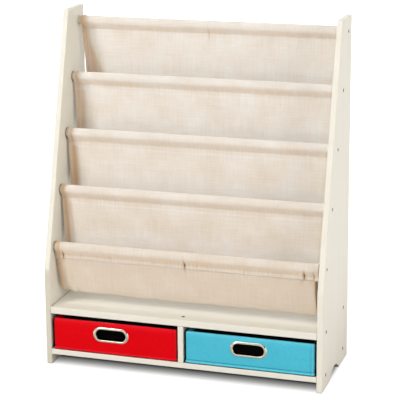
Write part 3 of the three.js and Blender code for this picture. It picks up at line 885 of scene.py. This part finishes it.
def add_sling(canvas, thread):
    columns = int(2 * HALF_WIDTH / COLUMN_STEP) + 1
    x = np.linspace(-HALF_WIDTH, HALF_WIDTH, columns)
    s = path_rows()
    cloth = add_cloth("canvas_sling", cloth_points(x, s), x, s, canvas, 1.0)
    to_end = np.repeat(np.minimum(s, CLOTH_LENGTH - s), columns)
    thicken(cloth, CANVAS_THICKNESS, np.where(to_end < END_ROW, 0.25, 1.0))
    tunnels = [f"rod_tunnel_{i + 1}" for i in range(RODS)]
    pockets = [f"sling_pocket_{i + 1}" for i in range(RODS - 1)]
    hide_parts(*tunnels, *pockets)
    hems = [add_side_hem(side, s, canvas) for side in (-1, 1)]
    add_stitches(thread)


def add_side_hem(side, s, canvas):
    """The turned side hem: a narrow second layer on the outer face of the cloth."""
    ends = sorted([(HALF_WIDTH - HEM_WIDTH) * side, HALF_WIDTH * side])
    x = np.linspace(*ends, 6)
    points = cloth_points(x, s)
    lifted = points + surface_normals(points) * CANVAS_THICKNESS * 1.05
    name = "left_side_hem" if side < 0 else "right_side_hem"
    hem = add_cloth(name, lifted, x, s, canvas, 0.6)
    thicken(hem, CANVAS_THICKNESS * 0.9)
    return hem


def stitch_line(x, s, lift):
    """Places, directions and normals of stitches across the cloth at one s, or along it at one x."""
    beside = np.array([-0.5, 0, 0.5]) * MM
    if np.ndim(s) == 0:
        points = cloth_points(x, s + beside)
        normals = surface_normals(points)[1]
        points = points[1]
    else:
        points = cloth_points(x + beside, s)
        normals = surface_normals(points)[:, 1]
        points = points[:, 1]
    return points + normals * lift, unit(np.gradient(points, axis=0)), normals


def stitch_mesh(places, directions, normals):
    """One short thread on each place, lying along its direction."""
    sideways = np.cross(directions, normals)
    rings = []
    for share, size in STITCH_RINGS:
        centre = places + directions * share * STITCH_LENGTH
        for side in range(STITCH_SIDES):
            turn = 2 * math.pi * side / STITCH_SIDES
            around = normals * math.sin(turn) + sideways * math.cos(turn)
            rings.append(centre + around * STITCH_RADIUS * size)
    per = len(rings)
    first = np.arange(len(places))[:, None] * per
    sides = grid_faces(len(STITCH_RINGS), STITCH_SIDES, wrap=True)[:, ::-1]
    faces = (first[:, None] + sides).reshape(-1, 4).tolist()
    end = np.arange(STITCH_SIDES)
    faces += (first + end[::-1]).tolist() + (first + end + per - STITCH_SIDES).tolist()
    return np.stack(rings, axis=1), faces


def add_stitches(thread):
    """Stitches along each seam and the low hem, and down each side hem on both of its faces."""
    lift = CANVAS_THICKNESS / 2 + STITCH_RADIUS * 0.35
    side_ends = HALF_WIDTH - 2 * STITCH_PITCH
    across = np.arange(-side_ends, side_ends, STITCH_PITCH)
    down = np.arange(2 * STITCH_PITCH, CLOTH_LENGTH - 2 * STITCH_PITCH, STITCH_PITCH)
    low_hem = SEAMS[-1][0] + 5 * MM
    lines = [stitch_line(across, place, lift) for place in [*(seam[0] for seam in SEAMS), low_hem]]
    for side in (-1, 1):
        hem_x = side * (HALF_WIDTH - HEM_WIDTH + 1.5 * MM)
        lines.append(stitch_line(hem_x, down, lift + CANVAS_THICKNESS))
        lines.append(stitch_line(hem_x, down, -lift))
    points, faces = stitch_mesh(*(np.concatenate(parts) for parts in zip(*lines)))
    stitches = add_piece("sling_stitches", points, faces, thread, "frame")
    return stitches


# Screws: a button head with a hex socket, and a threaded shank
def screw_rings(length):
    """Rings of (radius, place along the axis from the head's face, share of hexagon in the outline)."""
    rings = [
        (0.4 * SOCKET_HALF_WIDTH, SOCKET_DEPTH + 0.2 * MM, 0),
        (SOCKET_HALF_WIDTH, SOCKET_DEPTH, 1),
        (SOCKET_HALF_WIDTH, 0.15 * MM, 1),
        (SOCKET_HALF_WIDTH * 1.08, 0, 1),
        (SCREW_HEAD_RADIUS * 0.78, 0, 0),
        (SCREW_HEAD_RADIUS * 0.94, 0.2 * MM, 0),
        (SCREW_HEAD_RADIUS, 0.6 * MM, 0),
        (SCREW_HEAD_RADIUS, SCREW_HEAD_HEIGHT - 0.3 * MM, 0),
        (SCREW_HEAD_RADIUS * 0.95, SCREW_HEAD_HEIGHT, 0),
        (SCREW_SHANK_RADIUS, SCREW_HEAD_HEIGHT, 0),
    ]
    start, stop = SCREW_HEAD_HEIGHT + 1.5 * MM, length - 4 * MM
    for k, place in enumerate(np.arange(start, stop, THREAD_PITCH / 4)):
        cut = THREAD_DEPTH * (0, 0.5, 1, 0.5)[k % 4]
        rings.append((SCREW_SHANK_RADIUS - cut, place, 0))
    return rings + [(SCREW_SHANK_RADIUS * 0.7, stop + 2 * MM, 0), (SCREW_SHANK_RADIUS * 0.3, length, 0)]


def screw_mesh(length):
    rings = screw_rings(length)
    angle = np.arange(SCREW_SIDES) * 2 * math.pi / SCREW_SIDES
    hexagon = 1 / np.cos((angle + math.pi / 6) % (math.pi / 3) - math.pi / 6)
    points = []
    for radius, place, hex_share in rings:
        r = radius * (1 + (hexagon - 1) * hex_share)
        points.append(np.stack([r * np.cos(angle), r * np.sin(angle), np.full(SCREW_SIDES, place)], axis=1))
    count = len(rings) * SCREW_SIDES
    faces = grid_faces(len(rings), SCREW_SIDES, wrap=True).tolist()
    faces.append(list(range(SCREW_SIDES)))
    faces.append(list(range(count - 1, count - SCREW_SIDES - 1, -1)))
    return np.concatenate(points), faces


def add_screws(material):
    for name in sorted(n for n in NODES if "_screw_" in n):
        low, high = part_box(name)
        head, size = (low + high) / 2, high - low
        axis = "z" if size.z > size.x else "x"
        at_low_end = name.startswith(("left", "divider_bottom"))
        setattr(head, axis, getattr(low if at_low_end else high, axis))
        inward = (low + high) / 2 - head
        points, faces = screw_mesh(max(size))
        turn = np.array(inward.to_track_quat("Z", "Y").to_matrix())
        piece = add_piece(name + "_detailed", points @ turn.T + np.array(head), faces, material, "frame")
        piece.data.set_sharp_from_angle(angle=SCREW_EDGE_ANGLE)
        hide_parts(name)


# Fabric bins
def rounded_outline(low, high, inset, radius):
    """Points round a rectangle with rounded corners, counter-clockwise from the middle of its front side,
    and the outward direction at each."""
    x0, y0, x1, y1 = low[0] + inset, low[1] + inset, high[0] - inset, high[1] - inset
    radius = max(radius - inset, 0.4 * MM)
    left, right, front, back = x0 + radius, x1 - radius, y0 + radius, y1 - radius
    corners = np.array([(right, front), (right, back), (left, back), (left, front)])
    middle = (x0 + x1) / 2
    depth, width = y1 - y0 - 2 * radius, x1 - x0 - 2 * radius
    lengths = (right - middle, depth, width, depth, middle - x0 - radius)
    start = np.array([middle, y0])
    points, outward = [], []
    for k, (length, steps) in enumerate(zip(lengths, SIDE_STEPS)):
        heading = math.radians(90 * k)
        direction = np.array([math.cos(heading), math.sin(heading)])
        points.append(start + direction * length * np.arange(steps)[:, None] / steps)
        outward.append(np.repeat([[direction[1], -direction[0]]], steps, axis=0))
        if k < len(corners):
            turns = [math.radians(90 * (k - 1) + 90 * i / CORNER_STEPS) for i in range(CORNER_STEPS + 1)]
            around = np.array([(math.cos(turn), math.sin(turn)) for turn in turns])
            arc = corners[k] + radius * around
            points.append(arc[:-1])
            outward.append(around[:-1])
            start = arc[-1]
    return np.concatenate(points), np.concatenate(outward)


def bin_rim(x_share, y_share, colour):
    """How far the rim rises at a place round it; the middle of each side sags a little."""
    left, right, middle = RIM_RISE[colour]
    to_left, to_right = np.clip(-x_share, 0, 1) ** 2.2, np.clip(x_share, 0, 1) ** 2.2
    front = middle + (left - middle) * to_left + (right - middle) * to_right
    side = -1.0 * MM + (1.0 * MM + np.where(x_share < 0, left, right)) * y_share ** 2
    return np.where(np.abs(y_share) > 0.985, front, side)


def cover_profile(height):
    """(inset, height, freedom to swell) up the outside of the cover, over its rim and down inside."""
    half = FABRIC_THICKNESS / 2
    rim = height - 2.4 * MM
    profile = [(30 * MM, half, 0), (8 * MM, half, 0), (2.6 * MM, half, 0)]
    profile += [(1.2 * MM, half + 0.4 * MM, 0), (half, 2 * MM, 0)]
    profile += [(half, z, 1) for z in np.linspace(2.8 * MM, 2 * LIP_HEIGHT, 16)]
    profile += [(half, z, 1) for z in np.linspace(2 * LIP_HEIGHT + 2.5 * MM, rim, 19)]
    middle = BIN_WALL / 2
    for angle in np.linspace(0, math.pi, 9)[1:-1]:
        inset = middle - (middle - half) * math.cos(angle)
        profile.append((inset, rim + 1.9 * MM * math.sin(angle), 0.8 * (1 - angle / math.pi)))
    profile += [(BIN_WALL - half, z, 0) for z in np.linspace(height - 2.6 * MM, height - RIM_HEM, 6)]
    return profile


def wall_swell(x_share, y_share, z_share):
    """Walls belly out a little between their corners, and most at half their height."""
    front_or_back = np.where(np.abs(y_share) > 0.97, 1 - x_share ** 4, 0)
    side = np.where(np.abs(x_share) > 0.97, 1 - y_share ** 4, 0)
    return 0.9 * MM * (front_or_back + side) * math.sin(math.pi * min(max(z_share, 0), 1)) ** 0.8


def lip_swell(z):
    """The bottom seam: a narrow rounded lip with a groove above it."""
    lip = 1.5 * MM * bell(z - 0.5 * LIP_HEIGHT, 0.42 * LIP_HEIGHT)
    return lip - 0.4 * MM * bell(z - 1.12 * LIP_HEIGHT, 0.22 * LIP_HEIGHT)


def painted_fold_lines(to_right, z, height):
    """Painted shade and highlight: 1 for shade in the line above the bottom lip and along the right
    corner's crease, and -1 for a highlight on lip and rim and beside the corner's crease.
    """
    groove = bell(z - 1.15 * LIP_HEIGHT, 0.22 * LIP_HEIGHT)
    lip = bell(z - 0.45 * LIP_HEIGHT, 0.40 * LIP_HEIGHT)
    corner = 0.5 * bell(to_right - 8 * MM, 1.8 * MM) - 0.5 * bell(to_right - 3 * MM, 3 * MM)
    return np.clip(groove + corner - 0.8 * lip - 0.7 * bell(height - z, 7 * MM), -1, 1)


def add_shell(name, rows, material, body, thickness):
    """An open box from rings of points, with a floor across the first ring."""
    columns = len(rows[0])
    faces = grid_faces(len(rows), columns, wrap=True).tolist()
    faces.append(list(range(columns))[::-1])
    shell = add_piece(name, np.concatenate(rows), faces, material, body)
    thicken(shell, thickness)
    return shell


def add_cover(colour, ring_middle, fabric, body):
    low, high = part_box(f"{colour}_bin_cover")
    near_corner, far_corner = np.array(low)[:2], np.array(high)[:2]
    centre, half_size = (near_corner + far_corner) / 2, (far_corner - near_corner) / 2
    height = high.z - low.z
    seed = BIN_SEEDS[colour]
    rows, folds = [], []
    for inset, z, free in cover_profile(height):
        outline, outward = rounded_outline(low, high, inset, BIN_CORNER_RADIUS)
        x, y = outline.T
        x_share, y_share = ((outline - centre) / half_size).T
        round_it = np.arange(len(outline)) / len(outline)
        around = np.hypot(x - ring_middle.x, (low.z + z - ring_middle.z) * 1.6)
        dimple = 0.5 * MM * bell(around - 52 * MM, 12 * MM) * smooth_step(-y_share, 0.9, 0.99)
        wrinkle = 0.45 * MM * lattice_noise(x * 22 + 3 * seed, y * 22 + z * 60 + 5, seed)
        crease = 0.16 * MM * lattice_noise(round_it * 60 + seed, z * 190 + round_it * 0, seed + 1)
        out = free * (wall_swell(x_share, y_share, z / height) - dimple + wrinkle + crease)
        if z < 2 * LIP_HEIGHT and inset < 2 * MM:
            out += lip_swell(z)
        rise = bin_rim(x_share, y_share, colour) * smooth_step(z / height, 0.25, 1.0)
        rows.append(np.column_stack([outline + outward * out[:, None], low.z + z + rise]))
        folds.append(painted_fold_lines(high.x - x, z, height))
    cover = add_shell(f"{colour}_cover", rows, fabric, body, FABRIC_THICKNESS)
    store(cover, "fold_shade_and_light", np.concatenate(folds))
    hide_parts(f"{colour}_bin_cover")
    return cover


def add_lining(colour, material, body):
    low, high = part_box(f"{colour}_bin_cover")
    height = high.z - low.z
    seed = BIN_SEEDS[colour]
    levels = [(40 * MM, BIN_WALL), (LINING_INSET + 3 * MM, BIN_WALL)]
    levels += [(LINING_INSET + 0.8 * MM, BIN_WALL + 0.5 * MM)]
    levels += [(LINING_INSET, z) for z in np.linspace(BIN_WALL + 2.5 * MM, height - 2 * MM, 14)]
    rows = []
    for inset, z in levels:
        outline, outward = rounded_outline(low, high, inset, BIN_CORNER_RADIUS + 2 * MM)
        round_it = np.arange(len(outline)) / len(outline)
        loose = 0.8 * MM * math.sin(math.pi * np.clip((z - BIN_WALL) / (height - BIN_WALL), 0, 1))
        inwards = loose * np.abs(lattice_noise(round_it * 40 + seed, z * 60 + round_it * 0, seed + 2))
        place = outline - outward * inwards[:, None]
        rows.append(np.column_stack([place, np.full(len(outline), low.z + z)]))
    lining = add_shell(f"{colour}_lining", rows, material, body, LINING_THICKNESS)
    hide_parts(f"{colour}_bin_lining")
    return lining


# Handles
def stadium_outline(width, height):
    """Points round a stadium, counter-clockwise seen from the front, with as many points for every size."""
    radius = height / 2
    straight = width / 2 - radius
    points = []
    for end, sign in ((-90, 1), (90, -1)):
        for i in range(STADIUM_END_STEPS):
            angle = math.radians(end + 180 * i / STADIUM_END_STEPS)
            points.append((sign * straight + radius * math.cos(angle), radius * math.sin(angle)))
        for i in range(STADIUM_SIDE_STEPS):
            points.append((sign * straight * (1 - 2 * i / STADIUM_SIDE_STEPS), sign * radius))
    return np.array(points)


def finger_outline(margin):
    return stadium_outline(FINGER_WIDTH + margin, FINGER_HEIGHT + margin)


def upright(outline, middle, y):
    """An outline set upright round the handle's middle, at depth y."""
    return np.column_stack([middle.x + outline[:, 0], np.full(len(outline), y), middle.z + outline[:, 1]])


def handle_cutter(middle):
    outline = finger_outline(2 * BARREL_THICKNESS + HOLE_MARGIN)
    rows = [upright(outline, middle, middle.y + reach) for reach in HOLE_REACH]
    count = len(outline)
    faces = grid_faces(2, count, wrap=True)[:, ::-1].tolist()
    faces += [list(range(count)), list(range(count, 2 * count))[::-1]]
    return add_mesh("handle_cutter", np.concatenate(rows), faces)


def cut_hole(piece, cutter):
    """Applies the piece's thickness and a hole for the handle to its mesh."""
    hole = piece.modifiers.new("hole", "BOOLEAN")
    hole.operation = "DIFFERENCE"
    hole.solver = "EXACT"
    hole.object = cutter
    bpy.context.view_layer.update()
    evaluated = piece.evaluated_get(bpy.context.evaluated_depsgraph_get())
    made = bpy.data.meshes.new_from_object(evaluated)
    piece.modifiers.clear()
    piece.data = made


def add_hoop(colour, part, rows, chrome, body):
    """A solid hoop through rings of points, the last joined to the first."""
    count = len(rows[0])
    faces = grid_faces(len(rows) + 1, count, wrap=True) % (len(rows) * count)
    hoop = add_piece(f"{colour}_{part}", np.concatenate(rows), faces[:, ::-1], chrome, body)
    hoop.data.set_sharp_from_angle(angle=HOOP_EDGE_ANGLE)
    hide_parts(f"{colour}_bin_handle_{part}")
    return hoop


def add_ring(colour, middle, chrome, body):
    """The pressed ring: a domed rim that rolls into a barrel through the wall."""
    low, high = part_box(f"{colour}_bin_handle_ring")
    washer_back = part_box(f"{colour}_bin_handle_washer")[1].y
    outer = stadium_outline(high.x - low.x, high.z - low.z)
    inner = finger_outline(0)
    barrel = finger_outline(2 * BARREL_THICKNESS)
    cloth_y = low.y + RING_THICKNESS
    rows = [upright(inner, middle, washer_back)]
    for share, front in RING_SECTION:
        rows.append(upright(inner + (outer - inner) * share, middle, cloth_y - RING_THICKNESS * front))
    rows += [upright(barrel, middle, cloth_y), upright(barrel, middle, washer_back)]
    ring = add_hoop(colour, "ring", rows, chrome, body)
    # Painted dark reflection and shade where the ring turns into its hole
    rolled_edge_shade = [1.0, *(1 - smooth_step(share, 0.12, 0.22) for share, front in RING_SECTION), 1.0, 1.0]
    store(ring, "rolled_edge_shade", np.repeat(rolled_edge_shade, len(outer)))


def add_washer(colour, middle, chrome, body):
    low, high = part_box(f"{colour}_bin_handle_washer")
    inner = finger_outline(2 * BARREL_THICKNESS + WASHER_PLAY)
    outer = stadium_outline(high.x - low.x, high.z - low.z)
    rows = []
    for share, depth in WASHER_SECTION:
        rows.append(upright(inner + (outer - inner) * share, middle, low.y + (high.y - low.y) * depth))
    add_hoop(colour, "washer", rows, chrome, body)


def add_bin(colour, fabric, lining_fabric, chrome):
    body = f"{colour}_bin"
    low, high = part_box(f"{colour}_bin_handle_ring")
    middle = Vector(((low.x + high.x) / 2, low.y, (low.z + high.z) / 2))
    soft = [add_cover(colour, middle, fabric, body), add_lining(colour, lining_fabric, body)]
    cutter = handle_cutter(middle)
    for piece in soft:
        cut_hole(piece, cutter)
    bpy.data.objects.remove(cutter)
    add_ring(colour, middle, chrome, body)
    add_washer(colour, middle, chrome, body)


# Finishes of the CAD nodes that stay
def finish_cad(materials):
    finishes = {f"rod_{i + 1}": "rod_wood" for i in range(RODS)}
    for name in ("left_side_panel", "right_side_panel", "center_divider"):
        finishes[name] = "panel_paint"
    for name in ("storage_shelf", "bottom_board", "bay_back_panel"):
        finishes[name] = "board_paint"
    for colour in ("red", "blue"):
        finishes[f"{colour}_bin_wall_board"] = "grey_board"
        finishes[f"{colour}_bin_base_board"] = "black_lining"
    for name, key in finishes.items():
        NODES[name].data.materials.clear()
        NODES[name].data.materials.append(materials[key])


# Floor, light and camera
def beyond_footprint(look, place):
    """How far a place on the floor is outside the object's footprint; below 0 under the object."""
    beyond = []
    for axis, half, scale in ((0, cad_high.x, 4.0), (1, cad_high.y, 1.0)):
        outside = look.maths("SUBTRACT", look.maths("ABSOLUTE", look.split(place)[axis]), half)
        beyond.append(look.maths("MULTIPLY", outside, scale))
    return look.maths("MAXIMUM", *beyond)


def floor_glow(look, beyond):
    """White glow away from the object, fading near and under it so that its real shadow shows, with the
    fade as a painted shadow.
    """
    camera = look.add("LightPath").outputs["Is Camera Ray"]
    near = look.maths("MULTIPLY", camera, look.remap(beyond, -54 * MM, 2 * MM, 0, FLOOR_GLOW_NEAR))
    far = look.maths("MULTIPLY", look.seen_rays(), look.remap(beyond, 0.05, 0.7))
    return look.maths("MAXIMUM", near, far)


def add_floor():
    look = Look("studio_floor")
    place = look.place()
    beyond = beyond_footprint(look, place)
    pale = look.mix(look.noise(place, 3.0), FLOOR_LOW, FLOOR_HIGH)
    material = look.finish({
        # Painted shadow: the floor darkens under the object's footprint
        "Base Color": look.mix(look.remap(beyond, -30 * MM, 15 * MM, 1, 0), pale, FLOOR_SHADOW),
        "Roughness": 0.9,
        "Specular IOR Level": 0.0,
        "Emission Color": WHITE,
        "Emission Strength": floor_glow(look, beyond),
    })
    corners = [(x * FLOOR_HALF, y * FLOOR_HALF, 0) for x, y in ((-1, -1), (1, -1), (1, 1), (-1, 1))]
    floor = add_mesh("floor", corners, [(0, 1, 2, 3)])
    floor.data.materials.append(material)


def set_world():
    """White where it is seen or mirrored, apart from a dark patch of ceiling, and a dim warm fill."""
    world = bpy.data.worlds.new("studio")
    bpy.context.scene.world = world
    world.use_nodes = True
    look = Nodes(world.node_tree)
    seen = look.seen_rays()
    direction = look.add("TexCoord").outputs["Generated"]
    towards = look.add("VectorMath", {0: direction, 1: DARK_CEILING}, operation="DOT_PRODUCT")
    patch = look.remap(towards.outputs["Value"], 0.70, 0.82, 0, 0.97)
    dark = look.maths("MULTIPLY", look.add("LightPath").outputs["Is Glossy Ray"], patch)
    strength = look.maths("SUBTRACT", look.remap(seen, 0, 1, AMBIENT, 1.0), dark)
    tint = look.mix(seen, AMBIENT_TINT, WHITE)
    background = look.add("Background", {"Color": tint, "Strength": strength})
    look.add("OutputWorld", {0: background.outputs[0]})


def add_lamps():
    for name, (azimuth, elevation, size, watts, colour) in LAMPS.items():
        turn, tilt = math.radians(azimuth), math.radians(elevation)
        away = Vector((math.sin(turn) * math.cos(tilt), -math.cos(turn) * math.cos(tilt), math.sin(tilt)))
        data = bpy.data.lights.new(name, "AREA")
        data.shape = "RECTANGLE"
        data.size, data.size_y = size
        data.energy = watts
        data.color = colour
        lamp = bpy.data.objects.new(name, data)
        lamp.location = LIGHT_TARGET + away * LAMP_DISTANCE
        lamp.rotation_euler = (-away).to_track_quat("-Z", "Y").to_euler()
        bpy.context.scene.collection.objects.link(lamp)


def add_camera():
    yaw, pitch, roll = (math.radians(a) for a in (CAMERA_YAW, CAMERA_PITCH, CAMERA_ROLL))
    forward = Vector((math.sin(yaw) * math.cos(pitch), math.cos(yaw) * math.cos(pitch), math.sin(pitch)))
    right = Vector((math.cos(yaw), -math.sin(yaw), 0))
    up = right.cross(forward)
    tilted_right = right * math.cos(roll) + up * math.sin(roll)
    tilted_up = up * math.cos(roll) - right * math.sin(roll)
    data = bpy.data.cameras.new("camera")
    data.sensor_width = SENSOR
    data.lens = FOCAL_PX / FRAME_PX * SENSOR
    data.shift_y = (AXIS_ROW_PX - FRAME_PX / 2) / FRAME_PX
    data.clip_end = 100
    camera = bpy.data.objects.new("camera", data)
    bpy.context.scene.collection.objects.link(camera)
    turn = Matrix((tilted_right, tilted_up, -forward)).transposed().to_4x4()
    camera.matrix_world = Matrix.Translation(CAMERA_PLACE) @ turn
    bpy.context.scene.camera = camera


bpy.context.scene.view_settings.view_transform = "Standard"
add_camera()
MATERIALS = {
    "panel_paint": painted_board("panel_paint", (60, 60, 3)),
    "board_paint": painted_board("board_paint", (3, 60, 60), corner_shade=0.5),
    "canvas": canvas_cloth("canvas"),
    "thread": grained(
        "thread", THREAD_TONES, grain=((2600, 2600, 2600), 2.0, 0.5), spread=(0.3, 0.7),
        relief=(0.1 * MM, 0.6), roughness=0.7, sheen=0.2,
    ),
    "red": felt("red_fabric", RED_TONES),
    "blue": felt("blue_fabric", BLUE_TONES, crease=0.5),
    "black_lining": felt("black_lining", BLACK_TONES, sheen=0.1),
    "chrome": polished_metal("chrome"),
    "screw_steel": grained(
        "screw_steel", STEEL_TONES, grain=((500, 500, 500), 3.0, 0.5), spread=(0.35, 0.7),
        relief=(0.05 * MM, 0.4), roughness=(0.38, 0.6), specular=0.0,
    ),
    "rod_wood": grained(
        "rod_wood", WOOD_TONES, grain=((6, 260, 260), 4.0, 0.6), spread=(0.35, 0.65),
        relief=(0.2 * MM, 0.5), roughness=(0.72, 0.55),
    ),
    "grey_board": grained(
        "grey_board", BOARD_TONES, grain=((420, 420, 420), 4.0, 0.7), spread=(0.3, 0.7),
        relief=(0.2 * MM, 0.5), roughness=0.9,
    ),
}
finish_cad(MATERIALS)
add_sling(MATERIALS["canvas"], MATERIALS["thread"])
add_screws(MATERIALS["screw_steel"])
for colour in ("red", "blue"):
    add_bin(colour, MATERIALS[colour], MATERIALS["black_lining"], MATERIALS["chrome"])
add_floor()
set_world()
add_lamps()
